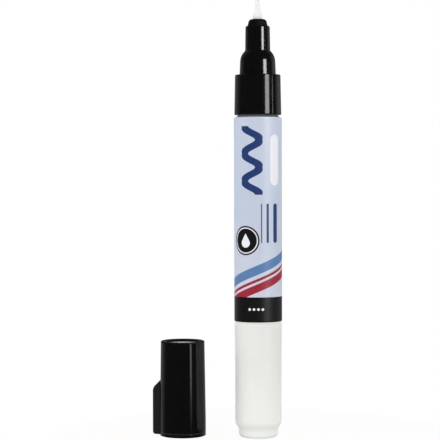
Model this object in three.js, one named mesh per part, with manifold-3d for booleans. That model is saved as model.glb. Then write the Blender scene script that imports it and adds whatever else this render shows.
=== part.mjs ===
import * as THREE from 'three';
import { mergeVertices } from 'three/addons/utils/BufferGeometryUtils.js';
import Module from 'manifold-3d';

// Valve-action paint marker with an extra-fine nib, standing on its tail, nib up.
// Its cap is off and stands beside it on its open end.
// Millimetres, +Z up. The origin is the centre of the tail's flat end.

// Tail and barrel
const tailPostRadius = 6.2;
const tailPostHeight = 2.5;
const tailPostEdgeRound = 1.0;
const tailStepHeight = 1.6;
const tailStepRound = 0.45;
const tailRadius = 7.31;
const tailTaperStart = 24;
const tailTopRadius = 7.46;
const tailFloor = 1.6;
const barrelWall = 1.2;
const barrelSkinRadius = 7.35;
const tailGrooveDepth = 0.12;
const tailGrooveWidth = 0.7;
const tailGrooveBelowLabel = 0.35;
const neckRadius = 6.95;
const neckHeight = 0.85;

// Printed film sleeve
const labelBottom = 36.9;
const labelLength = 64.35;
const labelClearance = 0.1;
const labelThickness = 0.125;

// Front section, from the grip up to the nose
const gripTopRadius = 7.225;
const gripLength = 12.7;
const gripEdgeRound = 0.3;
const shoulderRadius = 5.775;
const shoulderTaper = 0.14;
const shoulderStraight = 3.2;
const shoulderCurve = 4.4;
const shoulderDraw = 0.7;
const noseRadius = 3.985;
const noseTaper = 0.13;
const noseLength = 7.8;
const noseEdgeRound = 0.5;
const spigotLength = 14;
const spigotClearance = 0.1;

// Valve, inside the front section
const valveBoreRadius = 4.75;
const valveBoreDepth = 20;
const valveClearance = 0.1;
const channelRadius = 2.5;
const sealThickness = 1.4;
const sealHoleRadius = 1.75;
const sealEdgeRound = 0.3;
const housingLength = 16.6;
const housingWall = 1.15;
const retainerFlange = 1.2;
const retainerPlug = 1.2;
const retainerHoleRadius = 1.6;
const stemRodRadius = 1.2;
const stemHeadRadius = 3.1;
const stemHeadRim = 2.0;
const stemSealGap = 0.15;
const stemCupWall = 0.6;
const stemCupFloor = 1.8;
const stemCupDepth = 4;
const springRadius = 2.7;
const springWireRadius = 0.2;
const springTurns = 8;
const springEndGap = 0.1;
const pressTravel = 1.8;
const pressMargin = 0.3;

// Nib and the collar that guides it
const nibRadius = 1.525;
const nibStraight = 0.85;
const nibConeLength = 3.4;
const nibTipRadius = 0.72;
const nibTipLength = 2.5;
const nibTipRound = 0.6;
const nibCupClearance = 0.08;
const nibGuideClearance = 0.12;
const collarRadius = 3.2;
const collarShoulderRadius = 2.93;
const collarHeight = 2.15;
const collarCrown = 1.1;
const collarSpigotLength = 5.7;
const collarSpigotRadius = 2.7;
const collarSpigotClearance = 0.05;
const collarSpigotEndGap = 0.3;

// Mixing balls in the barrel
const ballRadius = 2.25;
const ballGap = 0.1;

// Cap
const capAxisX = -24.1;
const capAxisY = 3;
const capHeight = 30.3;
const capMouthRadius = 7.33;
const capTopRadius = 6.975;
const capStraight = 5.3;
const capTopRound = 0.55;
const capTopWall = 1.4;
const capDishRadius = 5.8;
const capDishFloorRadius = 3.5;
const capDishDepth = 0.2;
const capMouthClearance = 0.125;
const capMouthDepth = 8.6;
const capMouthChamfer = 0.3;
const capRimLineHeight = 1.05;
const capRimLineWidth = 0.3;
const capRimLineDepth = 0.1;

// Side clip, moulded with the cap
const clipBehind = THREE.MathUtils.degToRad(26);
const clipReach = 9.67;
const clipWidth = 5;
const clipFoot = 0.1;
const clipRampFoot = 15;
const clipRampSlope = 1.1;
const clipRoot = 0.8;
const clipCornerRound = 0.9;
const clipEdgeRound = 0.22;

// Soft liner inside the cap
const linerWall = 0.9;
const linerTopWall = 0.8;
const linerLength = 19.6;
const linerShellClearance = 0.1;
const linerShellRadius = 5.6;
const linerLipHeight = 1.5;
const linerNoseClearance = 0.12;
const linerLipChamfer = 0.35;

// Facets round the axis
const outerSides = 48;
const innerSides = 32;
const smallSides = 24;

// Levels and radii that follow from the sizes above
const labelTop = labelBottom + labelLength;
const labelInnerRadius = barrelSkinRadius + labelClearance;
const labelOuterRadius = labelInnerRadius + labelThickness;
const barrelTop = labelTop + neckHeight;
const barrelBoreRadius = barrelSkinRadius - barrelWall;
const spigotRadius = barrelBoreRadius - spigotClearance;
const spigotBottom = barrelTop - spigotLength;
const gripBottomRadius = tailTopRadius;
const gripTop = barrelTop + gripLength;
const shoulderCurveStart = gripTop + shoulderStraight;
const noseBottom = shoulderCurveStart + shoulderCurve;
const noseTop = noseBottom + noseLength;
const noseTopRadius = noseRadius - noseTaper;
const valveBoreTop = spigotBottom + valveBoreDepth;
const valveOuterRadius = valveBoreRadius - valveClearance;
const sealBottom = valveBoreTop - sealThickness;
const housingBottom = sealBottom - housingLength;
const housingInnerRadius = valveOuterRadius - housingWall;
const retainerTop = housingBottom + retainerPlug;
const stemConeTop = sealBottom + (sealHoleRadius - stemSealGap - stemRodRadius);
const stemConeFoot = stemConeTop - (stemHeadRadius - stemRodRadius);
const stemHeadBottom = stemConeFoot - stemHeadRim;
const stemCupBottom = valveBoreTop + pressTravel + pressMargin;
const nibBack = stemCupBottom + stemCupFloor;
const stemPocketRadius = nibRadius + nibCupClearance;
const stemCupRadius = stemPocketRadius + stemCupWall;
const collarTop = noseTop + collarHeight;
const collarBoreRadius = nibRadius + nibGuideClearance;
const collarSeatRadius = collarSpigotRadius + collarSpigotClearance;
const collarSeatBottom = noseTop - collarSpigotLength - collarSpigotEndGap;
const nibConeFoot = collarTop + nibStraight;
const nibTip = nibConeFoot + nibConeLength + nibTipLength;
const capMouthBore = shoulderRadius + capMouthClearance;
const linerOuterRadius = linerShellRadius - linerShellClearance;
const linerTop = capHeight - capTopWall;
const linerBottom = linerTop - linerLength;

// Outline corners are [radius, height, rounding]. A rounded corner becomes an arc that
// touches both of its sides, and never takes more than half of the shorter one.
function outlineOf(corners, arcSteps = 3) {
	const points = [];
	corners.forEach(([x, y, rounding = 0], i) => {
		const corner = new THREE.Vector2(x, y);
		if (rounding === 0) {
			points.push(corner);
			return;
		}
		const [beforeX, beforeY] = corners[i - 1];
		const [afterX, afterY] = corners[i + 1];
		const toBefore = new THREE.Vector2(beforeX, beforeY).sub(corner);
		const toAfter = new THREE.Vector2(afterX, afterY).sub(corner);
		const room = Math.min(toBefore.length(), toAfter.length()) / 2;
		toBefore.normalize();
		toAfter.normalize();
		const halfAngle = Math.acos(toBefore.dot(toAfter)) / 2;
		const setback = Math.min(rounding / Math.tan(halfAngle), room);
		const radius = setback * Math.tan(halfAngle);
		const bisector = toBefore.clone().add(toAfter).normalize();
		const centre = corner.clone().addScaledVector(bisector, radius / Math.sin(halfAngle));
		const start = corner.clone().addScaledVector(toBefore, setback).sub(centre);
		const end = corner.clone().addScaledVector(toAfter, setback).sub(centre);
		const turn = Math.atan2(start.cross(end), start.dot(end));
		for (let step = 0; step <= arcSteps; step++) {
			const arm = start.clone().rotateAround(new THREE.Vector2(), (turn * step) / arcSteps);
			points.push(centre.clone().add(arm));
		}
	});
	return points;
}

// An outline turned about the vertical axis.
function turned(outline, sides) {
	return new THREE.LatheGeometry(outline, sides).rotateX(Math.PI / 2);
}

// A ring's outline closes on itself, so its first point is repeated at the end.
function turnedRing(outline, sides) {
	return turned([...outline, outline[0].clone()], sides);
}

function plastic(color, roughness) {
	return new THREE.MeshStandardMaterial({ color, roughness, metalness: 0 });
}

const materials = {
	black: plastic(0x101012, 0.3),
	naturalPlastic: plastic(0xe8e8e2, 0.45),
	film: plastic(0xc4d0e4, 0.35),
	fibre: plastic(0xf0f0ec, 0.9),
	liner: plastic(0xdcdcd6, 0.5),
	valvePlastic: plastic(0xd8dadc, 0.45),
	softSeal: plastic(0x3a3a3c, 0.8),
	steel: new THREE.MeshStandardMaterial({ color: 0xb8bcc0, roughness: 0.25, metalness: 1 }),
};

function piece(name, geometry, material) {
	const mesh = new THREE.Mesh(geometry, material);
	mesh.name = name;
	return mesh;
}

// Paint tube with a stepped tail, a shallow groove under the label and a plain neck.
function makeBarrel() {
	const stepTop = tailPostHeight + tailStepHeight;
	const grooveTop = labelBottom - tailGrooveBelowLabel;
	const grooveBottom = grooveTop - tailGrooveWidth;
	const grooveRadius = tailTopRadius - tailGrooveDepth;
	const postBoreRadius = tailPostRadius - barrelWall;
	const outline = outlineOf([
		[0, 0],
		[tailPostRadius, 0, tailPostEdgeRound],
		[tailPostRadius, tailPostHeight, tailStepRound],
		[tailRadius, stepTop, tailStepRound],
		[tailRadius, tailTaperStart],
		[tailTopRadius, grooveBottom - tailGrooveDepth],
		[grooveRadius, grooveBottom],
		[grooveRadius, grooveTop - tailGrooveDepth],
		[tailTopRadius, grooveTop],
		[tailTopRadius, labelBottom],
		[barrelSkinRadius, labelBottom],
		[barrelSkinRadius, labelTop],
		[neckRadius, labelTop],
		[neckRadius, barrelTop],
		[barrelBoreRadius, barrelTop],
		[barrelBoreRadius, stepTop + barrelWall],
		[postBoreRadius, tailPostHeight + barrelWall],
		[postBoreRadius, tailFloor],
		[0, tailFloor],
	]);
	return piece('barrel', turned(outline, outerSides), materials.naturalPlastic);
}

function makeLabel() {
	const outline = outlineOf([
		[labelInnerRadius, labelBottom],
		[labelOuterRadius, labelBottom],
		[labelOuterRadius, labelTop],
		[labelInnerRadius, labelTop],
	]);
	return piece('label', turnedRing(outline, outerSides), materials.film);
}

// A quarter of an oval that leans in from one radius to another as it rises. With a draw, its
// upper part is pulled in further.
function leanIn(startRadius, startHeight, endRadius, rise, steps, draw = 0) {
	const points = [];
	for (let step = 0; step < steps; step++) {
		const angle = (Math.PI / 2) * (step / steps);
		const pulled = 1 - draw * Math.sin(angle) ** 5;
		points.push([
			endRadius + (startRadius - endRadius) * Math.cos(angle) * pulled,
			startHeight + rise * Math.sin(angle),
		]);
	}
	return points;
}

// Black stepped grip with the spigot that plugs into the barrel.
function makeFrontSection() {
	const outline = outlineOf([
		[valveBoreRadius, spigotBottom],
		[spigotRadius, spigotBottom],
		[spigotRadius, barrelTop],
		[gripBottomRadius, barrelTop, gripEdgeRound],
		[gripTopRadius, gripTop, gripEdgeRound],
		[shoulderRadius, gripTop],
		...leanIn(
			shoulderRadius - shoulderTaper, shoulderCurveStart, noseRadius, shoulderCurve, 8, shoulderDraw
		),
		[noseRadius, noseBottom],
		[noseTopRadius, noseTop, noseEdgeRound],
		[collarSeatRadius, noseTop],
		[collarSeatRadius, collarSeatBottom],
		[channelRadius, collarSeatBottom],
		[channelRadius, valveBoreTop],
		[valveBoreRadius, valveBoreTop],
	]);
	return piece('front_section', turnedRing(outline, outerSides), materials.black);
}

function makeNibCollar() {
	const outline = outlineOf([
		[collarBoreRadius, noseTop - collarSpigotLength],
		[collarSpigotRadius, noseTop - collarSpigotLength],
		[collarSpigotRadius, noseTop],
		[collarRadius, noseTop],
		...leanIn(
			collarShoulderRadius, collarTop - collarCrown, collarShoulderRadius - collarCrown, collarCrown, 5
		),
		[collarShoulderRadius - collarCrown, collarTop],
		[collarBoreRadius, collarTop],
	]);
	return piece('nib_collar', turnedRing(outline, innerSides), materials.black);
}

function makeNib() {
	const coneTop = nibConeFoot + nibConeLength;
	const outline = outlineOf([
		[0, nibBack],
		[nibRadius, nibBack],
		[nibRadius, nibConeFoot],
		[nibTipRadius, coneTop],
		[nibTipRadius, nibTip, nibTipRound],
		[0, nibTip],
	]);
	return piece('nib', turned(outline, smallSides), materials.fibre);
}

// The rod behind the nib: a cup that holds the nib, and a cone that closes on the seal.
function makeValveStem() {
	const outline = outlineOf([
		[0, stemHeadBottom],
		[stemHeadRadius, stemHeadBottom],
		[stemHeadRadius, stemConeFoot],
		[stemRodRadius, stemConeTop],
		[stemRodRadius, stemCupBottom],
		[stemCupRadius, stemCupBottom],
		[stemCupRadius, nibBack + stemCupDepth],
		[stemPocketRadius, nibBack + stemCupDepth],
		[stemPocketRadius, nibBack],
		[0, nibBack],
	]);
	return piece('valve_stem', turned(outline, smallSides), materials.valvePlastic);
}

function makeValveSeal() {
	const outline = outlineOf([
		[sealHoleRadius, (sealBottom + valveBoreTop) / 2],
		[sealHoleRadius, sealBottom, sealEdgeRound],
		[valveOuterRadius, sealBottom],
		[valveOuterRadius, valveBoreTop],
		[sealHoleRadius, valveBoreTop, sealEdgeRound],
		[sealHoleRadius, (sealBottom + valveBoreTop) / 2],
	], 2);
	return piece('valve_seal', turned(outline, innerSides), materials.softSeal);
}

function makeValveHousing() {
	const outline = outlineOf([
		[housingInnerRadius, housingBottom],
		[valveOuterRadius, housingBottom],
		[valveOuterRadius, sealBottom],
		[housingInnerRadius, sealBottom],
	]);
	return piece('valve_housing', turnedRing(outline, innerSides), materials.valvePlastic);
}

// Perforated end of the valve: a flange under the housing and a plug that the spring sits on.
function makeValveRetainer() {
	const plugRadius = housingInnerRadius - valveClearance;
	const outline = outlineOf([
		[retainerHoleRadius, housingBottom - retainerFlange],
		[valveOuterRadius, housingBottom - retainerFlange],
		[valveOuterRadius, housingBottom],
		[plugRadius, housingBottom],
		[plugRadius, retainerTop],
		[retainerHoleRadius, retainerTop],
	]);
	return piece('valve_retainer', turnedRing(outline, innerSides), materials.valvePlastic);
}

class Coil extends THREE.Curve {
	constructor(radius, bottom, top, turns) {
		super();
		Object.assign(this, { radius, bottom, top, turns });
	}

	getPoint(t, target = new THREE.Vector3()) {
		const angle = t * this.turns * 2 * Math.PI;
		return target.set(
			this.radius * Math.cos(angle),
			this.radius * Math.sin(angle),
			THREE.MathUtils.lerp(this.bottom, this.top, t)
		);
	}
}

// One wire of round section, swept along the coil and closed at both ends.
function makeValveSpring() {
	const stepsPerTurn = 8;
	const wireSides = 5;
	const ends = springWireRadius + springEndGap;
	const coil = new Coil(springRadius, retainerTop + ends, stemHeadBottom - ends, springTurns);
	const rings = springTurns * stepsPerTurn;
	const positions = [];
	const outward = new THREE.Vector3();
	const along = new THREE.Vector3();
	const across = new THREE.Vector3();
	for (let ring = 0; ring <= rings; ring++) {
		const centre = coil.getPoint(ring / rings);
		coil.getTangent(ring / rings, along);
		outward.set(centre.x, centre.y, 0).normalize();
		across.crossVectors(along, outward).normalize();
		for (let side = 0; side < wireSides; side++) {
			const angle = (side / wireSides) * 2 * Math.PI;
			const point = centre.clone()
				.addScaledVector(outward, springWireRadius * Math.cos(angle))
				.addScaledVector(across, springWireRadius * Math.sin(angle));
			positions.push(point.x, point.y, point.z);
		}
	}
	const faces = [];
	for (let ring = 0; ring < rings; ring++) {
		for (let side = 0; side < wireSides; side++) {
			const next = (side + 1) % wireSides;
			const here = ring * wireSides;
			const ahead = here + wireSides;
			faces.push(here + side, here + next, ahead + side);
			faces.push(here + next, ahead + next, ahead + side);
		}
	}
	for (let side = 1; side < wireSides - 1; side++) {
		const last = rings * wireSides;
		faces.push(0, side + 1, side);
		faces.push(last, last + side, last + side + 1);
	}
	const geometry = new THREE.BufferGeometry();
	geometry.setAttribute('position', new THREE.Float32BufferAttribute(positions, 3));
	geometry.setIndex(faces);
	geometry.computeVertexNormals();
	return piece('valve_spring', geometry, materials.steel);
}

// Two steel balls lie side by side on the barrel's floor.
function makeMixingBalls() {
	return [-1, 1].map((side, index) => {
		const sphere = new THREE.SphereGeometry(ballRadius, 16, 10).rotateX(Math.PI / 2);
		const ball = piece(`mixing_ball_${index + 1}`, sphere, materials.steel);
		ball.position.set(side * (ballRadius + ballGap), 0, tailFloor + ballRadius);
		return ball;
	});
}

// Cap shell: closed end up with a shallow dish in it, a wide mouth for the shoulder, and a
// narrower bore for the liner.
function capShellGeometry() {
	const rimLineMiddle = capRimLineHeight + capRimLineWidth / 2;
	const rimLineTop = capRimLineHeight + capRimLineWidth;
	const outline = outlineOf([
		[0, linerTop],
		[linerShellRadius, linerTop],
		[linerShellRadius, capMouthDepth],
		[capMouthBore, capMouthDepth],
		[capMouthBore, capMouthChamfer],
		[capMouthBore + capMouthChamfer, 0],
		[capMouthRadius, 0, capMouthChamfer],
		[capMouthRadius, capRimLineHeight],
		[capMouthRadius - capRimLineDepth, rimLineMiddle],
		[capMouthRadius, rimLineTop],
		[capMouthRadius, capStraight],
		[capTopRadius, capHeight, capTopRound],
		[capDishRadius, capHeight],
		[capDishFloorRadius, capHeight - capDishDepth],
		[0, capHeight - capDishDepth],
	]);
	return turned(outline, outerSides);
}

// Clip: a broad fin that stands out from the cap, with a sloping top, round corners and
// softened edges.
function clipGeometry() {
	const rootRadius = capMouthRadius - clipRoot;
	const inset = clipEdgeRound;
	const outerRadius = clipReach - inset;
	const rampBase = clipRampFoot - inset * Math.hypot(1, clipRampSlope);
	const side = new THREE.Shape(outlineOf([
		[rootRadius, clipFoot + inset],
		[outerRadius, clipFoot + inset, clipCornerRound],
		[outerRadius, rampBase + inset * clipRampSlope, clipCornerRound],
		[rootRadius, rampBase + (clipReach - rootRadius) * clipRampSlope],
	]));
	const fin = new THREE.ExtrudeGeometry(side, {
		depth: clipWidth - 2 * inset,
		bevelEnabled: true,
		bevelSize: inset,
		bevelThickness: inset,
		bevelSegments: 2,
	});
	fin.translate(0, 0, inset - clipWidth / 2);
	fin.rotateX(Math.PI / 2);
	return fin.rotateZ(Math.PI - clipBehind);
}

const wasm = await Module();
wasm.setup();

function toSolid(geometry) {
	const bare = new THREE.BufferGeometry();
	const source = geometry.index ? geometry.toNonIndexed() : geometry;
	bare.setAttribute('position', source.getAttribute('position'));
	const merged = mergeVertices(bare, 1e-4);
	return new wasm.Manifold(new wasm.Mesh({
		numProp: 3,
		vertProperties: merged.getAttribute('position').array,
		triVerts: new Uint32Array(merged.index.array),
	}));
}

function toGeometry(solid) {
	const mesh = solid.getMesh();
	const geometry = new THREE.BufferGeometry();
	geometry.setAttribute('position', new THREE.BufferAttribute(mesh.vertProperties, mesh.numProp));
	geometry.setIndex(new THREE.BufferAttribute(mesh.triVerts, 1));
	geometry.computeVertexNormals();
	return geometry;
}

function makeCapShell() {
	const joined = toSolid(capShellGeometry()).add(toSolid(clipGeometry()));
	return piece('cap_shell', toGeometry(joined), materials.black);
}

// Soft liner: its lip closes round the nose, and it ends above the nib's tip.
function makeInnerCap() {
	const lipRadius = noseRadius + linerNoseClearance;
	const boreRadius = linerOuterRadius - linerWall;
	const outline = outlineOf([
		[0, linerTop - linerTopWall],
		[boreRadius, linerTop - linerTopWall],
		[boreRadius, linerBottom + linerLipHeight],
		[lipRadius, linerBottom + linerLipHeight / 2],
		[lipRadius, linerBottom + linerLipChamfer],
		[lipRadius + linerLipChamfer, linerBottom],
		[linerOuterRadius, linerBottom],
		[linerOuterRadius, linerTop],
		[0, linerTop],
	]);
	return piece('inner_cap', turned(outline, innerSides), materials.liner);
}

const marker = new THREE.Group();
marker.add(
	makeBarrel(),
	makeLabel(),
	makeFrontSection(),
	makeNibCollar(),
	makeNib(),
	makeValveStem(),
	makeValveSpring(),
	makeValveSeal(),
	makeValveHousing(),
	makeValveRetainer(),
	...makeMixingBalls()
);

const cap = new THREE.Group();
cap.position.set(capAxisX, capAxisY, 0);
cap.add(makeCapShell(), makeInnerCap());

const part = new THREE.Group();
part.add(marker, cap);

export default part;
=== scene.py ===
import math

import bmesh
import bpy
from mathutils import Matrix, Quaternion, Vector


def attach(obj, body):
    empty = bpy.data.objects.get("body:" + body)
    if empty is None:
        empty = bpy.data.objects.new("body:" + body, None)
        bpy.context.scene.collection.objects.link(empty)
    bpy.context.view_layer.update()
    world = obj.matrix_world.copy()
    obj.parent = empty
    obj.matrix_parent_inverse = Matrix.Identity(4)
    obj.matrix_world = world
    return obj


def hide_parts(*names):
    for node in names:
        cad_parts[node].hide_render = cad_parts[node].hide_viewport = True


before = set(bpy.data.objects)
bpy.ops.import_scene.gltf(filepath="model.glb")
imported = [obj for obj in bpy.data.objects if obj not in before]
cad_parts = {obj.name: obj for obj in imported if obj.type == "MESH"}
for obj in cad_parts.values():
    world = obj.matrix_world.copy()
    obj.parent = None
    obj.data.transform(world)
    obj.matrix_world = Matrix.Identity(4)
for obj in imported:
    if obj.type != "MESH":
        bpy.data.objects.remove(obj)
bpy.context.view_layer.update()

mm = 0.001
nearby = 2e-6        # metres: two places closer than this are the same place


# Shared modelling steps

def deselectAll():
    if bpy.context.object and bpy.context.object.mode != "OBJECT":
        bpy.ops.object.mode_set(mode="OBJECT")
    bpy.ops.object.select_all(action="DESELECT")


def selectEdges(piece, wanted):
    bpy.ops.mesh.select_mode(type="EDGE")
    bpy.ops.mesh.select_all(action="DESELECT")
    mesh = bmesh.from_edit_mesh(piece.data)
    for edge in mesh.edges:
        edge.select = wanted(edge)
    bmesh.update_edit_mesh(piece.data)


def selectLoops(piece, places):
    def onLoop(edge):
        return any(
            all(abs(v.co.xy.length - radius * mm) < nearby and abs(v.co.z - height * mm) < nearby
                for v in edge.verts)
            for radius, height in places)
    selectEdges(piece, onLoop)


# A turned piece: one loop is extruded and scaled through its levels, each (radius, height) in mm

def turnPiece(name, levels, sides, ring=False):
    radius, height = levels[0]
    deselectAll()
    bpy.ops.mesh.primitive_circle_add(vertices=sides, radius=radius * mm, location=(0, 0, height * mm))
    piece = bpy.context.object
    piece.name = name
    bpy.ops.object.transform_apply(location=True, rotation=False, scale=False)
    bpy.ops.object.mode_set(mode="EDIT")
    bpy.ops.mesh.select_mode(type="EDGE")
    bpy.ops.mesh.select_all(action="SELECT")
    for nextRadius, nextHeight in levels[1:]:
        rise = (nextHeight - height) * mm
        bpy.ops.mesh.extrude_edges_move(TRANSFORM_OT_translate={"value": (0, 0, rise)})
        if nextRadius != radius:
            scale = nextRadius / radius
            bpy.ops.transform.resize(value=(scale, scale, 1), center_override=(0, 0, nextHeight * mm))
        radius, height = nextRadius, nextHeight
    if ring:
        selectLoops(piece, [levels[0], levels[-1]])
        bpy.ops.mesh.bridge_edge_loops()
    else:
        bpy.ops.mesh.edge_face_add()
        selectLoops(piece, [levels[0]])
        bpy.ops.mesh.edge_face_add()
    bpy.ops.mesh.select_all(action="SELECT")
    bpy.ops.mesh.normals_make_consistent(inside=False)
    return piece


# A rounding is its width in mm and its number of steps

def roundSelected(width, steps, clamp=True):
    bpy.ops.mesh.bevel(offset=width * mm, segments=steps, affect="EDGES", clamp_overlap=clamp)


def roundLoops(piece, places, rounding):
    selectLoops(piece, places)
    roundSelected(*rounding)


def finishPiece(piece, sharpAngle=35):
    bpy.ops.object.mode_set(mode="OBJECT")
    bpy.ops.object.shade_smooth_by_angle(angle=math.radians(sharpAngle))
    modifier = piece.modifiers.new("flatFaces", "WEIGHTED_NORMAL")
    modifier.keep_sharp = True
    bpy.ops.object.modifier_apply(modifier=modifier.name)


def placePiece(piece, material, body, node):
    piece.data.materials.append(material)
    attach(piece, body)
    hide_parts(node)


# Shared shader steps

def srgb(red, green, blue):
    def toLinear(value):
        value /= 255
        return value / 12.92 if value <= 0.04045 else ((value + 0.055) / 1.055) ** 2.4
    return (toLinear(red), toLinear(green), toLinear(blue), 1.0)


def fill(tree, socket, value):
    if isinstance(value, bpy.types.NodeSocket):
        tree.links.new(value, socket)
    else:
        socket.default_value = value


def calc(tree, operation, *values, clamp=False):
    node = tree.nodes.new("ShaderNodeMath")
    node.operation = operation
    node.use_clamp = clamp
    for socket, value in zip(node.inputs, values):
        fill(tree, socket, value)
    return node.outputs[0]


def hypotenuse(tree, across, up):
    squares = calc(tree, "ADD", calc(tree, "MULTIPLY", across, across), calc(tree, "MULTIPLY", up, up))
    return calc(tree, "SQRT", squares)


# A mix node takes colours at sockets 6 and 7 and gives one at 2

def mixColours(tree, mask, under, over):
    node = tree.nodes.new("ShaderNodeMix")
    node.data_type = "RGBA"
    fill(tree, node.inputs[0], mask)
    fill(tree, node.inputs[6], under)
    fill(tree, node.inputs[7], over)
    return node.outputs[2]


def smoothRange(tree, value, low, high):
    node = tree.nodes.new("ShaderNodeMapRange")
    node.interpolation_type = "SMOOTHSTEP"
    fill(tree, node.inputs["Value"], value)
    fill(tree, node.inputs["From Min"], low)
    fill(tree, node.inputs["From Max"], high)
    return node.outputs["Result"]


def noiseFrom(tree, vector, scale, detail=2.0):
    node = tree.nodes.new("ShaderNodeTexNoise")
    fill(tree, node.inputs["Vector"], vector)
    fill(tree, node.inputs["Scale"], scale)
    node.inputs["Detail"].default_value = detail
    return node.outputs["Fac"]


def startGroup(name, inputs, outputs):
    tree = bpy.data.node_groups.new(name, "ShaderNodeTree")
    kinds = {"value": "NodeSocketFloat", "colour": "NodeSocketColor", "vector": "NodeSocketVector"}
    for label, kind, default in inputs:
        socket = tree.interface.new_socket(name=label, in_out="INPUT", socket_type=kinds[kind])
        if default is not None:
            socket.default_value = default
    for label, kind in outputs:
        tree.interface.new_socket(name=label, in_out="OUTPUT", socket_type=kinds[kind])
    return tree, tree.nodes.new("NodeGroupInput").outputs, tree.nodes.new("NodeGroupOutput").inputs


def useGroup(tree, group, **values):
    node = tree.nodes.new("ShaderNodeGroup")
    node.node_tree = group
    for label, value in values.items():
        fill(tree, node.inputs[label], value)
    return node.outputs


def startMaterial(name, roughness, **constants):
    material = bpy.data.materials.new(name)
    material.use_nodes = True
    tree = material.node_tree
    shader = tree.nodes["Principled BSDF"]
    shader.inputs["Roughness"].default_value = roughness
    for label, value in constants.items():
        shader.inputs[label].default_value = value
    return material, tree, shader


def objectPlace(tree):
    return tree.nodes.new("ShaderNodeTexCoord").outputs["Object"]


def addBump(tree, shader, height, strength, distance):
    bump = tree.nodes.new("ShaderNodeBump")
    bump.inputs["Strength"].default_value = strength
    bump.inputs["Distance"].default_value = distance * mm
    fill(tree, bump.inputs["Height"], height)
    tree.links.new(bump.outputs["Normal"], shader.inputs["Normal"])


# Moulded surface: cloudy colour, uneven polish and a fine grain

mouldedNoise = {
    "cloudDetail": 3.0, "cloudRange": (0.3, 0.7), "smearScale": 4.0, "smearDetail": 4.0, "smearMiddle": 0.5,
    "grainDetail": 1.0,
}


def buildMoulded(noise):
    inputs = [
        ("Place", "vector", None), ("Colour", "colour", (0.5, 0.5, 0.5, 1)),
        ("Cloud", "colour", (0.5, 0.5, 0.5, 1)), ("Polish", "value", 0.3), ("Unevenness", "value", 0.1),
        ("CloudSize", "value", 150.0), ("GrainSize", "value", 4000.0),
    ]
    outputs = [("Colour", "colour"), ("Roughness", "value"), ("Height", "value")]
    tree, given, made = startGroup("mouldedSurface", inputs, outputs)
    place = given["Place"]
    clouds = noiseFrom(tree, place, given["CloudSize"], noise["cloudDetail"])
    cloud = smoothRange(tree, clouds, *noise["cloudRange"])
    tree.links.new(mixColours(tree, cloud, given["Colour"], given["Cloud"]), made["Colour"])
    smearSize = calc(tree, "MULTIPLY", given["CloudSize"], noise["smearScale"])
    smear = noiseFrom(tree, place, smearSize, noise["smearDetail"])
    uneven = calc(tree, "SUBTRACT", smear, noise["smearMiddle"])
    offset = calc(tree, "MULTIPLY", uneven, given["Unevenness"])
    tree.links.new(calc(tree, "ADD", given["Polish"], offset, clamp=True), made["Roughness"])
    tree.links.new(noiseFrom(tree, place, given["GrainSize"], noise["grainDetail"]), made["Height"])
    return tree


moulded = buildMoulded(mouldedNoise)


def mouldedMaterial(name, look, **constants):
    material, tree, shader = startMaterial(name, look["polish"], **constants)
    surface = useGroup(
        tree, moulded, Place=objectPlace(tree), Colour=srgb(*look["colour"]), Cloud=srgb(*look["cloud"]),
        Polish=look["polish"], Unevenness=look["unevenness"], CloudSize=look["cloudSize"],
        GrainSize=look["grainSize"])
    tree.links.new(surface["Colour"], shader.inputs["Base Color"])
    tree.links.new(surface["Roughness"], shader.inputs["Roughness"])
    addBump(tree, shader, surface["Height"], look["grain"], look["grainDepth"])
    return material


blackLook = {
    "colour": (9, 9, 10), "cloud": (12, 12, 13), "polish": 0.13, "unevenness": 0.06,
    "cloudSize": 220.0, "grainSize": 2600.0, "grain": 0.03, "grainDepth": 0.02,
}
satinLook = {
    "colour": (10, 10, 11), "cloud": (13, 13, 14), "polish": 0.58, "unevenness": 0.08,
    "cloudSize": 260.0, "grainSize": 2600.0, "grain": 0.06, "grainDepth": 0.02,
}
naturalLook = {
    "colour": (240, 241, 236), "cloud": (236, 237, 231), "polish": 0.42, "unevenness": 0.08,
    "cloudSize": 90.0, "grainSize": 2200.0, "grain": 0.08, "grainDepth": 0.02,
}
linerLook = {
    "colour": (226, 226, 220), "cloud": (220, 220, 214), "polish": 0.5, "unevenness": 0.08,
    "cloudSize": 120.0, "grainSize": 2000.0, "grain": 0.12, "grainDepth": 0.02,
}
valveLook = {
    "colour": (222, 225, 228), "cloud": (214, 217, 221), "polish": 0.4, "unevenness": 0.08,
    "cloudSize": 160.0, "grainSize": 2000.0, "grain": 0.1, "grainDepth": 0.02,
}
rubberLook = {
    "colour": (30, 30, 32), "cloud": (38, 38, 40), "polish": 0.75, "unevenness": 0.1,
    "cloudSize": 260.0, "grainSize": 1800.0, "grain": 0.2, "grainDepth": 0.03,
}
springLook = {
    "colour": (170, 172, 176), "cloud": (158, 160, 164), "polish": 0.3, "unevenness": 0.12,
    "cloudSize": 400.0, "grainSize": 3000.0, "grain": 0.15, "grainDepth": 0.01,
}
ballLook = {
    "colour": (186, 188, 192), "cloud": (178, 180, 184), "polish": 0.12, "unevenness": 0.06,
    "cloudSize": 300.0, "grainSize": 3000.0, "grain": 0.05, "grainDepth": 0.01,
}
lowShine = {"Specular IOR Level": 0.37}
satinShine = {"Specular IOR Level": 0.16}
milky = {"Subsurface Weight": 0.05, "Subsurface Radius": (1.0, 0.95, 0.85), "Subsurface Scale": 0.0012}

satinPlastic = mouldedMaterial("satinPlastic", satinLook, **satinShine)
linerPlastic = mouldedMaterial("linerPlastic", linerLook)
valvePlastic = mouldedMaterial("valvePlastic", valveLook)
sealRubber = mouldedMaterial("sealRubber", rubberLook)
springSteel = mouldedMaterial("springSteel", springLook, Metallic=1.0)
ballSteel = mouldedMaterial("ballSteel", ballLook, Metallic=1.0)


# Where the barrel, the grip and the cap are paler, greyer or less polished, with places and reaches in mm:
# the barrel's paler tail is painted light, its grey neck painted shade, and the cap's pale foot line a
# painted reflection

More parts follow.
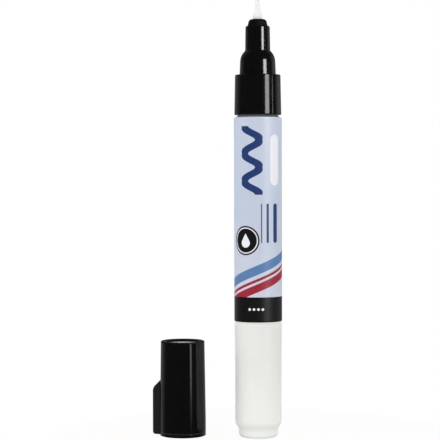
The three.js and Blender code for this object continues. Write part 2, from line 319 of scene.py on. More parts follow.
capAxis = (-24.1, 3.0)        # where the middle of the cap stands
# Painted light and shade: the barrel is paler towards the tail where the cap shades it, and grey in the
# neck under the grip
barrelPaintedLightAndShade = {
    "neck": (140, 141, 148), "neckLow": 101.25, "neckHigh": 101.4,
    "tail": (249, 250, 245), "tailLightHigh": 32.0,
}
gripMarks = {"flats": (114.8, 130.2), "spread": (0.02, 0.06), "roughness": 0.8}
capMarks = {
    "shine": 0.31, "clipReach": (7.38, 7.5), "clipColour": (32, 32, 34), "clipRoughness": 0.3,
    # Painted reflection: the pale foot line stands in for a bevel mirroring the floor
    "lineHeight": 1.2, "lineReach": (6.9, 7.1), "lineSpread": (0.05, 0.22), "paintedFootReflection": (46, 46, 47),
    "rimReach": (5.75, 5.8), "rimHeight": (29.8, 29.95), "rimRoughness": 0.5,
}


def makeBarrelPlastic(look):
    material = mouldedMaterial("barrelPlastic", naturalLook, **milky)
    tree = material.node_tree
    colour = tree.nodes["Principled BSDF"].inputs["Base Color"]
    split = tree.nodes.new("ShaderNodeSeparateXYZ")
    tree.links.new(objectPlace(tree), split.inputs[0])
    plain = colour.links[0].from_socket
    # Painted light: the colour is paler towards the tail, where the cap and floor shade it
    abovePaintedTailLight = smoothRange(tree, split.outputs[2], 0.0, look["tailLightHigh"] * mm)
    withTailLight = mixColours(tree, abovePaintedTailLight, srgb(*look["tail"]), plain)
    # Painted shade: the neck under the grip's overhang is painted grey
    inNeckShade = smoothRange(tree, split.outputs[2], look["neckLow"] * mm, look["neckHigh"] * mm)
    tree.links.new(mixColours(tree, inNeckShade, withTailLight, srgb(*look["neck"])), colour)
    return material


def makeGripPlastic(look):
    material = mouldedMaterial("gripPlastic", blackLook, **lowShine)
    tree = material.node_tree
    roughness = tree.nodes["Principled BSDF"].inputs["Roughness"]
    split = tree.nodes.new("ShaderNodeSeparateXYZ")
    tree.links.new(objectPlace(tree), split.inputs[0])
    height = calc(tree, "DIVIDE", split.outputs[2], mm)
    away = [calc(tree, "ABSOLUTE", calc(tree, "SUBTRACT", height, flat)) for flat in look["flats"]]
    offFlats = smoothRange(tree, calc(tree, "MINIMUM", *away), *look["spread"])
    added = calc(tree, "MULTIPLY", calc(tree, "SUBTRACT", 1.0, offFlats), look["roughness"])
    rough = calc(tree, "ADD", roughness.links[0].from_socket, added, clamp=True)
    tree.links.new(rough, roughness)
    return material


def makeCapPlastic(look):
    material = mouldedMaterial("capPlastic", blackLook, **{"Specular IOR Level": look["shine"]})
    tree = material.node_tree
    inputs = tree.nodes["Principled BSDF"].inputs
    split = tree.nodes.new("ShaderNodeSeparateXYZ")
    tree.links.new(objectPlace(tree), split.inputs[0])
    away = [calc(tree, "SUBTRACT", split.outputs[axis], capAxis[axis] * mm) for axis in (0, 1)]
    reach = calc(tree, "DIVIDE", hypotenuse(tree, *away), mm)
    onClip = smoothRange(tree, reach, *look["clipReach"])
    height = calc(tree, "DIVIDE", split.outputs[2], mm)
    # Painted reflection: a paler line round the foot stands in for a bevel mirroring the floor
    offLine = calc(tree, "ABSOLUTE", calc(tree, "SUBTRACT", height, look["lineHeight"]))
    nearLine = calc(tree, "SUBTRACT", 1.0, smoothRange(tree, offLine, *look["lineSpread"]))
    onPaintedReflection = calc(tree, "MULTIPLY", nearLine, smoothRange(tree, reach, *look["lineReach"]))
    colour = inputs["Base Color"].links[0].from_socket
    colour = mixColours(tree, onPaintedReflection, colour, srgb(*look["paintedFootReflection"]))
    colour = mixColours(tree, onClip, colour, srgb(*look["clipColour"]))
    tree.links.new(colour, inputs["Base Color"])
    onRim = calc(tree, "MULTIPLY", smoothRange(tree, reach, *look["rimReach"]),
                 smoothRange(tree, height, *look["rimHeight"]))
    clipRough = calc(tree, "MULTIPLY", onClip, look["clipRoughness"])
    rimRough = calc(tree, "MULTIPLY", onRim, look["rimRoughness"])
    added = calc(tree, "ADD", clipRough, rimRough)
    rough = calc(tree, "ADD", inputs["Roughness"].links[0].from_socket, added, clamp=True)
    tree.links.new(rough, inputs["Roughness"])
    return material


barrelPlastic = makeBarrelPlastic(barrelPaintedLightAndShade)
gripPlastic = makeGripPlastic(gripMarks)
capPlastic = makeCapPlastic(capMarks)
print("moulded plastics, rubber and steel are ready")


# Bonded fibre of the nib: fine fibres run along it

fibreLook = {
    "colour": (249, 249, 247), "shade": (244, 244, 242), "roughness": 0.85,
    "across": 5200.0, "along": 260.0, "detail": 3.0, "strandRange": (0.35, 0.65),
    "bump": 0.05, "depth": 0.02,
}


def makeFibre(look):
    material, tree, shader = startMaterial("nibFibre", look["roughness"])
    mapping = tree.nodes.new("ShaderNodeMapping")
    mapping.inputs["Scale"].default_value = (look["across"], look["across"], look["along"])
    tree.links.new(objectPlace(tree), mapping.inputs["Vector"])
    fibres = noiseFrom(tree, mapping.outputs["Vector"], 1.0, look["detail"])
    strand = smoothRange(tree, fibres, *look["strandRange"])
    colour = mixColours(tree, strand, srgb(*look["shade"]), srgb(*look["colour"]))
    tree.links.new(colour, shader.inputs["Base Color"])
    addBump(tree, shader, fibres, look["bump"], look["depth"])
    return material


nibFibre = makeFibre(fibreLook)


# Printed film: places on it are millimetres round from the front, U, and up from its lower edge, V

def buildWrap():
    inputs = [("Place", "vector", None), ("Radius", "value", 7.5), ("Bottom", "value", 0.0)]
    tree, given, made = startGroup("wrapPlace", inputs, [("U", "value"), ("V", "value")])
    split = tree.nodes.new("ShaderNodeSeparateXYZ")
    tree.links.new(given["Place"], split.inputs[0])
    angle = calc(tree, "ARCTAN2", split.outputs[0], calc(tree, "MULTIPLY", split.outputs[1], -1.0))
    tree.links.new(calc(tree, "MULTIPLY", angle, given["Radius"]), made["U"])
    height = calc(tree, "DIVIDE", split.outputs[2], mm)
    tree.links.new(calc(tree, "SUBTRACT", height, given["Bottom"]), made["V"])
    return tree


def startMask(name, *labels):
    inputs = [(label, "value", 0.0) for label in ("U", "V", "Edge", *labels)]
    return startGroup(name, inputs, [("Mask", "value")])


def endMask(tree, given, made, distance):
    soft = calc(tree, "DIVIDE", distance, given["Edge"])
    tree.links.new(calc(tree, "SUBTRACT", 0.5, soft, clamp=True), made["Mask"])
    return tree


def buildBar():
    tree, given, made = startMask("barMask", "CentreU", "CentreV", "HalfWidth", "HalfHeight", "Corner")
    reaches = []
    for place, centre, half in (("U", "CentreU", "HalfWidth"), ("V", "CentreV", "HalfHeight")):
        away = calc(tree, "ABSOLUTE", calc(tree, "SUBTRACT", given[place], given[centre]))
        reaches.append(calc(tree, "SUBTRACT", away, calc(tree, "SUBTRACT", given[half], given["Corner"])))
    corner = hypotenuse(tree, *[calc(tree, "MAXIMUM", reach, 0.0) for reach in reaches])
    inside = calc(tree, "MINIMUM", calc(tree, "MAXIMUM", *reaches), 0.0)
    distance = calc(tree, "SUBTRACT", calc(tree, "ADD", corner, inside), given["Corner"])
    return endMask(tree, given, made, distance)


def buildDisc():
    tree, given, made = startMask("discMask", "CentreU", "CentreV", "Radius")
    across = calc(tree, "SUBTRACT", given["U"], given["CentreU"])
    up = calc(tree, "SUBTRACT", given["V"], given["CentreV"])
    distance = calc(tree, "SUBTRACT", hypotenuse(tree, across, up), given["Radius"])
    return endMask(tree, given, made, distance)


# A drop is a disc drawn up to a point two radii above its centre

def buildDrop():
    tree, given, made = startMask("dropMask", "CentreU", "CentreV", "Radius")
    lean = math.radians(30)
    across = calc(tree, "ABSOLUTE", calc(tree, "SUBTRACT", given["U"], given["CentreU"]))
    up = calc(tree, "SUBTRACT", given["V"], given["CentreV"])
    disc = calc(tree, "SUBTRACT", hypotenuse(tree, across, up), given["Radius"])
    slanted = calc(tree, "ADD", calc(tree, "MULTIPLY", across, math.cos(lean)),
                   calc(tree, "MULTIPLY", up, math.sin(lean)))
    side = calc(tree, "SUBTRACT", slanted, given["Radius"])
    low = calc(tree, "SUBTRACT", calc(tree, "MULTIPLY", given["Radius"], math.sin(lean)), up)
    distance = calc(tree, "MINIMUM", disc, calc(tree, "MAXIMUM", side, low))
    return endMask(tree, given, made, distance)


def buildStripe():
    tree, given, made = startMask("stripeMask", "Height", "Slope", "Half")
    middle = calc(tree, "ADD", given["Height"], calc(tree, "MULTIPLY", given["U"], given["Slope"]))
    away = calc(tree, "ABSOLUTE", calc(tree, "SUBTRACT", given["V"], middle))
    return endMask(tree, given, made, calc(tree, "SUBTRACT", away, given["Half"]))


def buildWave():
    tree, given, made = startMask("waveMask", "Centre", "Reach", "Period", "Half", "Low", "High")
    turn = calc(tree, "DIVIDE", 2 * math.pi, given["Period"])
    phase = calc(tree, "MULTIPLY", calc(tree, "SUBTRACT", given["V"], given["Low"]), turn)
    swing = calc(tree, "MULTIPLY", given["Reach"], calc(tree, "COSINE", phase))
    middle = calc(tree, "ADD", given["Centre"], swing)
    slope = calc(tree, "MULTIPLY", calc(tree, "MULTIPLY", given["Reach"], turn), calc(tree, "SINE", phase))
    away = calc(tree, "ABSOLUTE", calc(tree, "SUBTRACT", given["U"], middle))
    nearest = calc(tree, "DIVIDE", away, hypotenuse(tree, 1.0, slope))
    distance = calc(tree, "SUBTRACT", nearest, given["Half"])
    ends = calc(tree, "MAXIMUM", calc(tree, "SUBTRACT", given["Low"], given["V"]),
                calc(tree, "SUBTRACT", given["V"], given["High"]))
    return endMask(tree, given, made, calc(tree, "MAXIMUM", distance, ends))


# A stripe is its colour, height and half width; a bar its colour, centre U, V, half width and half height

filmLook = {
    "radius": 7.575, "bottom": 36.9, "edge": 0.05, "roughness": 0.42,
    "paleTop": (202, 211, 229), "paleMiddle": (199, 209, 227), "paleLow": (206, 213, 228),
    "paleFade": ((12.0, 34.0), (34.0, 62.0)),
    "blue": (24, 56, 120), "steelBlue": (88, 130, 184), "crimson": (168, 24, 48), "white": (242, 244, 249),
    "black": (18, 18, 20), "grey": (158, 166, 182), "seam": (176, 184, 204),
    "stripes": [("crimson", 10.9, 1.3), ("crimson", 13.4, 0.45), ("steelBlue", 16.6, 1.5)],
    "stripeSlope": 0.42,
    "bars": [
        ("blue", 0.95, 31.1, 0.16, 6.2), ("blue", 2.95, 31.1, 0.4, 6.2), ("blue", 5.8, 31.1, 0.8, 6.2),
        ("white", 5.6, 50.9, 1.75, 8.0), ("white", 18.6, 38.7, 4.0, 15.0),
        ("grey", 16.4, 41.7, 0.28, 10.0), ("grey", 18.0, 41.7, 0.28, 10.0),
        ("grey", 19.6, 39.7, 0.28, 8.0), ("grey", 21.0, 43.7, 0.28, 6.0),
        ("blue", -16.5, 41.7, 0.6, 14.0), ("white", -18.8, 41.7, 0.35, 14.0),
    ],
    "barCorner": 1.75,
    "wave": {"Centre": -2.2, "Reach": 2.3, "Period": 8.6, "Half": 1.2, "Low": 40.05, "High": 61.55},
    "badge": {"centre": (-4.3, 25.7), "radius": 4.6, "ring": 0.35, "ringInset": 0.5, "drop": 1.5},
    "band": 7.9, "bandDots": (-2.9, -1.5, -0.1, 1.3), "dotHeight": 4.1, "dotHalf": 0.42,
    "seamPlace": 23.74, "seamHalf": 0.06, "seamHigh": 100.0, "overlapStart": 22.6, "overlapRise": 0.1,
    "ripple": 320.0, "bump": 0.08, "bumpDepth": 0.05,
}


def makeFilm(look):
    barMask, discMask, dropMask = buildBar(), buildDisc(), buildDrop()
    stripeMask, waveMask = buildStripe(), buildWave()
    material, tree, shader = startMaterial("printedFilm", look["roughness"])
    place = objectPlace(tree)
    wrap = useGroup(tree, buildWrap(), Place=place, Radius=look["radius"], Bottom=look["bottom"])
    spot = {"U": wrap["U"], "V": wrap["V"], "Edge": look["edge"]}

    def stamp(under, colour, group, **values):
        mask = useGroup(tree, group, **spot, **values)["Mask"]
        return mixColours(tree, mask, under, srgb(*look[colour]))

    lowFade, highFade = look["paleFade"]
    ink = mixColours(tree, smoothRange(tree, wrap["V"], *lowFade),
                     srgb(*look["paleLow"]), srgb(*look["paleMiddle"]))
    ink = mixColours(tree, smoothRange(tree, wrap["V"], *highFade), ink, srgb(*look["paleTop"]))
    for colour, height, half in look["stripes"]:
        ink = stamp(ink, colour, stripeMask, Height=height, Slope=look["stripeSlope"], Half=half)
    for colour, centreU, centreV, halfWidth, halfHeight in look["bars"]:
        ink = stamp(ink, colour, barMask, CentreU=centreU, CentreV=centreV, HalfWidth=halfWidth,
                    HalfHeight=halfHeight, Corner=min(halfWidth, look["barCorner"]))
    ink = stamp(ink, "blue", waveMask, **look["wave"])
    badge = look["badge"]
    across, up = badge["centre"]
    ringOuter = badge["radius"] - badge["ringInset"]
    discs = (("black", badge["radius"]), ("white", ringOuter), ("black", ringOuter - badge["ring"]))
    for colour, radius in discs:
        ink = stamp(ink, colour, discMask, Radius=radius, CentreU=across, CentreV=up)
    ink = stamp(ink, "white", dropMask, Radius=badge["drop"], CentreU=across,
                CentreV=up - badge["drop"] / 2)
    ink = stamp(ink, "seam", barMask, CentreU=look["seamPlace"], CentreV=0.0,
                HalfWidth=look["seamHalf"], HalfHeight=look["seamHigh"], Corner=0.0)
    ink = stamp(ink, "black", stripeMask, Height=0.0, Slope=0.0, Half=look["band"])
    for across in look["bandDots"]:
        ink = stamp(ink, "white", discMask, Radius=look["dotHalf"], CentreU=across,
                    CentreV=look["dotHeight"])
    tree.links.new(ink, shader.inputs["Base Color"])
    overlapEnd = look["overlapStart"] + look["overlapRise"]
    overlap = smoothRange(tree, wrap["U"], look["overlapStart"], overlapEnd)
    ripple = noiseFrom(tree, place, look["ripple"])
    addBump(tree, shader, calc(tree, "ADD", ripple, overlap), look["bump"], look["bumpDepth"])
    return material


printedFilm = makeFilm(filmLook)
print("printed film is ready")


# Barrel: a pale tube with a stepped tail, a shallow groove under the label and a plain neck

barrelSize = {
    "sides": 160, "endRing": (2.9, 3.3, 0.12),
    "postRadius": 6.17, "postHeight": 2.75, "postRound": (1.2, 8), "stepTop": 4.4, "stepRound": (0.6, 5),
    "tailRadius": 7.31, "taperStart": 24.0, "topRadius": 7.46,
    "grooveLow": 35.85, "grooveHigh": 36.55, "grooveDepth": 0.12, "grooveSlope": 0.06,
    "labelBottom": 36.9, "labelRound": (0.05, 2), "labelTop": 101.25, "skinRadius": 7.35,
    "skinRound": (0.1, 2), "neckRadius": 6.35, "neckFlare": ((6.4, 101.85), (6.65, 101.6), (7.0, 101.4)),
    "top": 102.1, "topRound": (0.08, 2), "boreRadius": 6.15, "floor": 1.6, "wall": 1.2,
}


def makeBarrel(size):
    ringIn, ringOut, ringDeep = size["endRing"]
    post, tail, top = size["postRadius"], size["tailRadius"], size["topRadius"]
    groove, slope = top - size["grooveDepth"], size["grooveSlope"]
    piece = turnPiece("barrelTube", [
        (ringIn, 0), ((ringIn + ringOut) / 2, ringDeep), (ringOut, 0),
        (post, 0), (post, size["postHeight"]), (tail, size["stepTop"]), (tail, size["taperStart"]),
        (top, size["grooveLow"] - slope), (groove, size["grooveLow"]), (groove, size["grooveHigh"] - slope),
        (top, size["grooveHigh"]), (top, size["labelBottom"]), (size["skinRadius"], size["labelBottom"]),
        (size["skinRadius"], size["labelTop"]), *reversed(size["neckFlare"]),
        (size["neckRadius"], size["top"]), (size["boreRadius"], size["top"]),
        (size["boreRadius"], size["stepTop"] + size["wall"]),
        (post - size["wall"], size["postHeight"] + size["wall"]), (post - size["wall"], size["floor"]),
    ], size["sides"])
    roundLoops(piece, [(post, 0)], size["postRound"])
    roundLoops(piece, [(post, size["postHeight"]), (tail, size["stepTop"])], size["stepRound"])
    roundLoops(piece, [(top, size["labelBottom"])], size["labelRound"])
    roundLoops(piece, [(size["neckRadius"], size["top"])], size["topRound"])
    roundLoops(piece, [(size["skinRadius"], size["labelTop"])], size["skinRound"])
    finishPiece(piece)
    placePiece(piece, barrelPlastic, "marker", "barrel")


makeBarrel(barrelSize)
print("barrel made")


# Label: a thin film sleeve that turns in at both ends

labelSize = {
    "sides": 160, "inner": 7.46, "outer": 7.575, "bottom": 36.92, "top": 101.23,
    "turnIn": 0.35, "turnShare": 0.3, "rolled": 0.03, "sharpAngle": 50,
}


def makeLabel(size):
    bottom, top, outer = size["bottom"], size["top"], size["outer"]
    middle = (size["inner"] + outer) / 2
    near, far = size["turnIn"] * size["turnShare"], size["turnIn"]
    piece = turnPiece("labelSleeve", [
        (size["inner"], bottom), (middle, bottom), (outer - size["rolled"], bottom + near),
        (outer, bottom + far), (outer, top - far), (outer - size["rolled"], top - near),
        (middle, top), (size["inner"], top),
    ], size["sides"], ring=True)
    finishPiece(piece, size["sharpAngle"])
    placePiece(piece, printedFilm, "marker", "label")


makeLabel(labelSize)
print("label made")


# Grip: three black tiers, the middle one leaning in to the nose

gripSize = {
    "sides": 160, "spigotRadius": 6.05, "spigotBottom": 88.1, "bottom": 102.1, "bottomRadius": 7.46,
    "top": 114.8, "topRadius": 7.225, "edgeRound": (0.32, 5),
    "shoulderRadius": 5.775, "shoulderTop": 5.635, "shoulderRound": (0.12, 3),
    "curveStart": 118.0, "curveHeight": 4.4, "curveSteps": 20, "curveDraw": 0.7, "curvePower": 5,
    "noseRadius": 3.985, "noseFoot": (0.3, 4),
    "noseTop": 130.2, "noseTopRadius": 3.855, "noseRound": (0.5, 6),
    "seatRadius": 2.75, "seatBottom": 124.2, "channel": 2.5, "valveBore": 4.75, "valveBoreTop": 108.1,
}


def makeGrip(size):
    lean = size["shoulderTop"] - size["noseRadius"]
    curve = []
    for step in range(size["curveSteps"]):
        angle = math.pi / 2 * step / size["curveSteps"]
        drawn = 1 - size["curveDraw"] * math.sin(angle) ** size["curvePower"]
        curve.append((size["noseRadius"] + lean * math.cos(angle) * drawn,
                      size["curveStart"] + size["curveHeight"] * math.sin(angle)))
    noseBottom = size["curveStart"] + size["curveHeight"]
    piece = turnPiece("gripSection", [
        (size["valveBore"], size["spigotBottom"]), (size["spigotRadius"], size["spigotBottom"]),
        (size["spigotRadius"], size["bottom"]), (size["bottomRadius"], size["bottom"]),
        (size["topRadius"], size["top"]), (size["shoulderRadius"], size["top"]), *curve,
        (size["noseRadius"], noseBottom), (size["noseTopRadius"], size["noseTop"]),
        (size["seatRadius"], size["noseTop"]), (size["seatRadius"], size["seatBottom"]),
        (size["channel"], size["seatBottom"]), (size["channel"], size["valveBoreTop"]),
        (size["valveBore"], size["valveBoreTop"]),
    ], size["sides"], ring=True)
    roundLoops(piece, [(size["bottomRadius"], size["bottom"]), (size["topRadius"], size["top"])],
               size["edgeRound"])
    roundLoops(piece, [(size["shoulderRadius"], size["top"])], size["shoulderRound"])
    roundLoops(piece, [(size["noseRadius"], noseBottom)], size["noseFoot"])
    roundLoops(piece, [(size["noseTopRadius"], size["noseTop"])], size["noseRound"])
    finishPiece(piece)
    placePiece(piece, gripPlastic, "marker", "front_section")


makeGrip(gripSize)
print("grip made")


# Collar pressed into the nose

collarSize = {
    "sides": 96, "bore": 1.645, "spigot": 2.7, "spigotBottom": 124.5, "bottom": 130.2, "bottomRadius": 3.2,
    "top": 132.35, "topRadius": 2.93, "crown": 1.1, "flat": 1.83, "crownSteps": 10, "mouthRound": (0.1, 3),
}


def makeCollar(size):
    crown = []
    for step in range(size["crownSteps"] + 1):
        angle = math.pi / 2 * step / size["crownSteps"]
        crown.append((size["flat"] + (size["topRadius"] - size["flat"]) * math.cos(angle),
                      size["top"] + size["crown"] * (math.sin(angle) - 1)))
    piece = turnPiece("noseCollar", [
        (size["bore"], size["spigotBottom"]), (size["spigot"], size["spigotBottom"]),
        (size["spigot"], size["bottom"]), (size["bottomRadius"], size["bottom"]),
        *crown, (size["bore"], size["top"]),
    ], size["sides"], ring=True)
    roundLoops(piece, [(size["bore"], size["top"])], size["mouthRound"])
    finishPiece(piece)
    placePiece(piece, satinPlastic, "marker", "nib_collar")


makeCollar(collarSize)
print("collar made")


# Nib: a fibre rod that narrows to a short round tip

nibSize = {
    "sides": 96, "radius": 1.525, "bottom": 112.0, "coneFoot": 133.2, "coneHeight": 3.4, "coneSteps": 10,
    "bulge": 1.2, "tipRadius": 0.72, "tip": 139.1, "tipRound": (0.6, 8), "backRound": (0.2, 3),
}


def makeNib(size):
    taper = size["radius"] - size["tipRadius"]
    cone = []
    for step in range(size["coneSteps"] + 1):
        part = step / size["coneSteps"]
        cone.append((size["radius"] - taper * part ** size["bulge"],
                     size["coneFoot"] + size["coneHeight"] * part))
    piece = turnPiece("nibRod", [
        (size["radius"], size["bottom"]), *cone, (size["tipRadius"], size["tip"]),
    ], size["sides"])
    roundLoops(piece, [(size["tipRadius"], size["tip"])], size["tipRound"])
    roundLoops(piece, [(size["radius"], size["bottom"])], size["backRound"])
    finishPiece(piece)
    placePiece(piece, nibFibre, "nib_unit", "nib")


makeNib(nibSize)
print("nib made")


# Cap shell with its side clip, modelled round the origin with the clip to the left, then put in place

capSize = {
    "sides": 144, "height": 30.3, "dishFloor": 5.5, "dishRadius": 5.8, "dishDepth": 0.55,
    "rimRadius": 6.25, "rimDepth": 0.22, "rimRound": (0.15, 3), "topRadius": 6.975, "topRound": (0.4, 7),
    "mouthRadius": 7.33, "straight": 5.3,
    "footLine": (1.0, 1.2, 1.4), "footLineDepth": 0.03, "footEdge": 0.3, "footSlant": 0.3,
    "mouthBore": 5.9, "mouthChamfer": 0.3, "mouthDepth": 8.6, "linerBore": 5.6, "roof": 28.9,
    "clipBehind": 26.0, "clipReach": 9.665, "clipHalf": 2.5, "clipFoot": 0.1, "clipRampFoot": 15.0,
    "clipRampTop": 17.77, "clipCorner": (0.9, 6), "clipEdge": (0.22, 3),
    "wallSkip": 0.8, "outlineSkip": 0.03, "sideFacing": 0.9, "flatFacing": 0.5,
}


def standAtCapAxis(piece):
    piece.location = (capAxis[0] * mm, capAxis[1] * mm, 0)
    bpy.ops.object.transform_apply(location=True, rotation=True, scale=False)


def makeCap(size):
    mouth = size["mouthRadius"]
    slope = (mouth - size["topRadius"]) / (size["height"] - size["straight"])
    rampRadius = mouth - slope * (size["clipRampTop"] - size["straight"])
    lineLow, lineMiddle, lineHigh = size["footLine"]
    piece = turnPiece("capShell", [
        (size["dishFloor"], size["height"] - size["dishDepth"]),
        (size["dishRadius"], size["height"] - size["rimDepth"]), (size["rimRadius"], size["height"]),
        (size["topRadius"], size["height"]), (rampRadius, size["clipRampTop"]), (mouth, size["straight"]),
        (mouth, lineHigh), (mouth - size["footLineDepth"], lineMiddle), (mouth, lineLow),
        (mouth, size["footEdge"]), (mouth - size["footEdge"] * size["footSlant"], size["clipFoot"]),
        (mouth - size["footEdge"], 0), (size["mouthBore"] + size["mouthChamfer"], 0),
        (size["mouthBore"], size["mouthChamfer"]), (size["mouthBore"], size["mouthDepth"]),
        (size["linerBore"], size["mouthDepth"]), (size["linerBore"], size["roof"]),
    ], size["sides"])
    roundLoops(piece, [(size["topRadius"], size["height"])], size["topRound"])
    rimInside = (size["dishRadius"], size["height"] - size["rimDepth"])
    roundLoops(piece, [rimInside, (size["rimRadius"], size["height"])], size["rimRound"])
    raiseClip(piece, size)
    finishPiece(piece)
    piece.rotation_euler.z = math.radians(-size["clipBehind"])
    standAtCapAxis(piece)
    placePiece(piece, capPlastic, "cap", "cap_shell")


# The clip is pulled out flat from the wall's outer faces, sloped at its top and rounded round its outline

def raiseClip(piece, size):
    reach, foot, rampFoot = size["clipReach"] * mm, size["clipFoot"] * mm, size["clipRampFoot"] * mm
    rampTop = size["clipRampTop"] * mm
    wallInside = (size["mouthBore"] + size["wallSkip"]) * mm
    outlineReach = (size["mouthRadius"] + size["outlineSkip"]) * mm
    halfTurn = math.asin(size["clipHalf"] / size["mouthRadius"])
    bpy.ops.mesh.select_mode(type="FACE")
    bpy.ops.mesh.select_all(action="DESELECT")
    mesh = bmesh.from_edit_mesh(piece.data)
    for face in mesh.faces:
        middle = face.calc_center_median()
        onWall = middle.xy.length > wallInside
        inTurn = abs(math.atan2(middle.y, -middle.x)) < halfTurn
        face.select = onWall and inTurn and foot < middle.z < rampTop
    bmesh.update_edit_mesh(piece.data)
    outwards = (size["mouthRadius"] - size["clipReach"]) * mm
    bpy.ops.mesh.extrude_region_move(TRANSFORM_OT_translate={"value": (outwards, 0, 0)})
    bpy.ops.transform.resize(value=(0, 1, 1), center_override=(-reach, 0, 0))

    def onReach(vertex, height):
        return vertex.co.x < nearby - reach and abs(vertex.co.z - height) < nearby

    def isSpareLevel(edge):
        start, end = [v.co for v in edge.verts]
        isLevel = abs(start.z - end.z) < nearby and foot + nearby < start.z < rampTop - nearby
        return isLevel and min(start.x, end.x) < nearby - reach

    def isAcross(*heights):
        return lambda edge: any(all(onReach(v, height) for v in edge.verts) for height in heights)

    def isOutline(edge):
        outside = any(v.co.x < -outlineReach for v in edge.verts)
        if not outside or len(edge.link_faces) != 2:
            return False
        flat, side = sorted(abs(face.normal.y) for face in edge.link_faces)
        return side > size["sideFacing"] and flat < size["flatFacing"]

    selectEdges(piece, isSpareLevel)
    bpy.ops.mesh.dissolve_edges(use_verts=True)
    selectEdges(piece, isAcross(rampTop))
    bpy.ops.transform.translate(value=(0, 0, rampFoot - rampTop))
    selectEdges(piece, isAcross(rampFoot, foot))
    roundSelected(*size["clipCorner"])
    selectEdges(piece, isOutline)
    roundSelected(*size["clipEdge"], clamp=False)


makeCap(capSize)
print("cap made")


# Soft liner of the cap

linerSize = {
    "sides": 96, "outer": 5.5, "bore": 4.6, "lip": 4.105, "bottom": 9.3, "lipHeight": 1.5, "chamfer": 0.35,
    "top": 28.9, "roof": 28.1, "footRound": (0.12, 3),
}


def makeLiner(size):
    bottom = size["bottom"]
    piece = turnPiece("capLiner", [
        (size["outer"], size["top"]), (size["outer"], bottom), (size["lip"] + size["chamfer"], bottom),
        (size["lip"], bottom + size["chamfer"]), (size["lip"], bottom + size["lipHeight"] / 2),
        (size["bore"], bottom + size["lipHeight"]), (size["bore"], size["roof"]),
    ], size["sides"])
    roundLoops(piece, [(size["outer"], bottom), (size["lip"], bottom + size["chamfer"])], size["footRound"])
    finishPiece(piece)
    standAtCapAxis(piece)
    placePiece(piece, linerPlastic, "cap", "inner_cap")


makeLiner(linerSize)
print("liner made")


# Hidden pieces keep their solids and get their real finish

innerFinish = {
    "valve_stem": valvePlastic, "valve_housing": valvePlastic, "valve_retainer": valvePlastic,
    "valve_seal": sealRubber, "valve_spring": springSteel,
    "mixing_ball_1": ballSteel, "mixing_ball_2": ballSteel,
}
for node, material in innerFinish.items():
    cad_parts[node].material_slots[0].material = material
print("inner pieces finished")


# Pale floor that whitens away from the object and keeps its shadow, sizes in metres

floorLook = {
    "size": 6.0, "drop": 0.00005, "colour": (246, 246, 246), "roughness": 0.9, "glow": 0.94,
    "fade": (0.02, 0.07),
}


def makeFloor(look):
    deselectAll()
    bpy.ops.mesh.primitive_plane_add(size=look["size"], location=(0, 0, -look["drop"]))
    floor = bpy.context.object
    floor.name = "paleFloor"
    floor.visible_glossy = False
    material, tree, shader = startMaterial("paleFloor", look["roughness"])
    shader.inputs["Base Color"].default_value = srgb(*look["colour"])
    glow = tree.nodes.new("ShaderNodeEmission")
    path = tree.nodes.new("ShaderNodeLightPath")
    length = tree.nodes.new("ShaderNodeVectorMath")
    length.operation = "LENGTH"
    tree.links.new(objectPlace(tree), length.inputs[0])
    far = smoothRange(tree, length.outputs["Value"], *look["fade"])
    amount = calc(tree, "MAXIMUM", look["glow"], far)
    seen = calc(tree, "MAXIMUM", path.outputs["Is Camera Ray"], path.outputs["Is Transmission Ray"])
    mixed = tree.nodes.new("ShaderNodeMixShader")
    tree.links.new(calc(tree, "MULTIPLY", seen, amount), mixed.inputs[0])
    tree.links.new(shader.outputs[0], mixed.inputs[1])
    tree.links.new(glow.outputs[0], mixed.inputs[2])
    tree.links.new(mixed.outputs[0], tree.nodes["Material Output"].inputs["Surface"])
    floor.data.materials.append(material)


# World: white to the camera, soft light all round, and darker towards the front in reflections

studioLook = {
    "soft": 0.27, "front": 0.045, "back": 0.12, "low": 0.13, "turn": (0.05, 0.6), "lift": (0.08, 0.2),
}


def makeStudio(look):
    world = bpy.data.worlds.new("studio")
    bpy.context.scene.world = world
    world.use_nodes = True
    tree = world.node_tree
    background = tree.nodes["Background"]
    background.inputs["Color"].default_value = (1, 1, 1, 1)
    split = tree.nodes.new("ShaderNodeSeparateXYZ")
    tree.links.new(tree.nodes.new("ShaderNodeTexCoord").outputs["Generated"], split.inputs[0])
    behind = smoothRange(tree, split.outputs[1], *look["turn"])
    lowDown = calc(tree, "SUBTRACT", 1.0, smoothRange(tree, split.outputs[2], *look["lift"]))
    rear = calc(tree, "ADD", look["back"], calc(tree, "MULTIPLY", lowDown, look["low"]))
    mirrored = calc(tree, "ADD", look["front"], calc(tree, "MULTIPLY", behind, rear))
    path = tree.nodes.new("ShaderNodeLightPath")
    seen = calc(tree, "MAXIMUM", path.outputs["Is Camera Ray"], path.outputs["Is Transmission Ray"])
    strength = calc(tree, "ADD", look["soft"], calc(
        tree, "MULTIPLY", path.outputs["Is Glossy Ray"], calc(tree, "SUBTRACT", mirrored, look["soft"])))
    white = calc(tree, "MULTIPLY", seen, calc(tree, "SUBTRACT", 1.0, strength))
    tree.links.new(calc(tree, "ADD", strength, white), background.inputs["Strength"])


# Softboxes at turns from the camera's side, sizes in metres: one set is only mirrored, one only lights

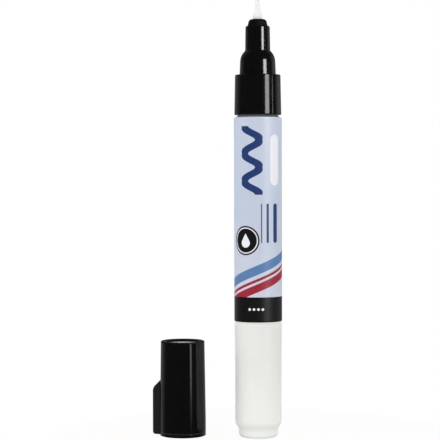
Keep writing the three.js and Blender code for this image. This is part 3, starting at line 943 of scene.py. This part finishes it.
glossLamps = {
    "keyHigh": {"turn": 46, "away": 0.25, "width": 0.086, "span": (0.144, 0.202), "power": 0.308},
    "keyLow": {"turn": 46, "away": 0.8, "width": 0.278, "span": (0.12, 0.2), "power": 0.77},
    "keyFoot": {"turn": 42.5, "away": 0.8, "width": 0.1, "span": (-0.07, 0.12), "power": 0.29},
    "sideStrip": {"turn": 77, "away": 0.8, "width": 0.035, "span": (0.12, 0.2), "power": 0.055},
    "rightCard": {"turn": 116, "away": 0.8, "width": 0.5, "span": (0.1, 0.5), "power": 0.18},
    "backCard": {"turn": 180, "away": 0.8, "width": 0.3, "span": (0.105, 0.2), "power": 0.12},
    "leftLow": {"turn": -145, "away": 0.8, "width": 0.43, "span": (0.0, 0.112), "power": 0.08},
}
softLamps = {
    "frontSoft": {"turn": 4, "away": 0.65, "width": 1.2, "span": (0.5, 1.3), "power": 4.8},
    "lowSoft": {"turn": 4, "away": 0.65, "width": 1.2, "span": (0.0, 0.3), "power": 0.32},
    "leftSoft": {"turn": -68, "away": 1.0, "width": 0.5, "span": (0.0, 1.0), "power": 2.6},
    "footSoft": {"turn": -45, "away": 0.12, "width": 0.08, "span": (0.0, 0.04), "power": 0.012},
    "rightSoft": {"turn": 72, "away": 1.0, "width": 1.0, "span": (0.0, 1.0), "power": 3.1},
    "rearLeft": {"turn": -120, "away": 1.0, "width": 1.0, "span": (0.0, 1.0), "power": 3.5},
    "rearRight": {"turn": 130, "away": 1.0, "width": 1.0, "span": (0.0, 1.0), "power": 2.8},
}
softAim = 0.07        # soft lamps aim no higher than the middle of the marker


def makeLamp(name, look, gloss):
    low, high = look["span"]
    data = bpy.data.lights.new(name, "AREA")
    data.shape = "RECTANGLE"
    data.size, data.size_y, data.energy = look["width"], high - low, look["power"]
    lamp = bpy.data.objects.new(name, data)
    bpy.context.scene.collection.objects.link(lamp)
    turn = math.radians(look["turn"])
    middle = (low + high) / 2
    lamp.location = (math.sin(turn) * look["away"], -math.cos(turn) * look["away"], middle)
    aim = Vector((0, 0, middle if gloss else min(middle, softAim)))
    lamp.rotation_euler = (lamp.location - aim).to_track_quat("Z", "Y").to_euler()
    lamp.visible_camera = False
    lamp.visible_glossy = gloss
    lamp.visible_diffuse = not gloss


# Camera at the photograph's viewing angle, places and lens in mm

cameraSize = {
    "place": (-12.06, -529.0, 83.0), "aim": (-12.06, 0.0, 68.9), "roll": -0.16, "lens": 136.5, "sensor": 36,
}


def makeCamera(size):
    data = bpy.data.cameras.new("camera")
    data.sensor_width = size["sensor"]
    data.lens = size["lens"]
    camera = bpy.data.objects.new("camera", data)
    bpy.context.scene.collection.objects.link(camera)
    camera.location = Vector(size["place"]) * mm
    aim = Vector(size["aim"]) * mm
    level = (camera.location - aim).to_track_quat("Z", "Y")
    camera.rotation_euler = (level @ Quaternion((0, 0, 1), math.radians(size["roll"]))).to_euler()
    bpy.context.scene.camera = camera


makeFloor(floorLook)
makeStudio(studioLook)
for lampName, lampLook in glossLamps.items():
    makeLamp(lampName, lampLook, gloss=True)
for lampName, lampLook in softLamps.items():
    makeLamp(lampName, lampLook, gloss=False)
makeCamera(cameraSize)
bpy.context.scene.view_settings.view_transform = "Standard"
print("studio and camera set")
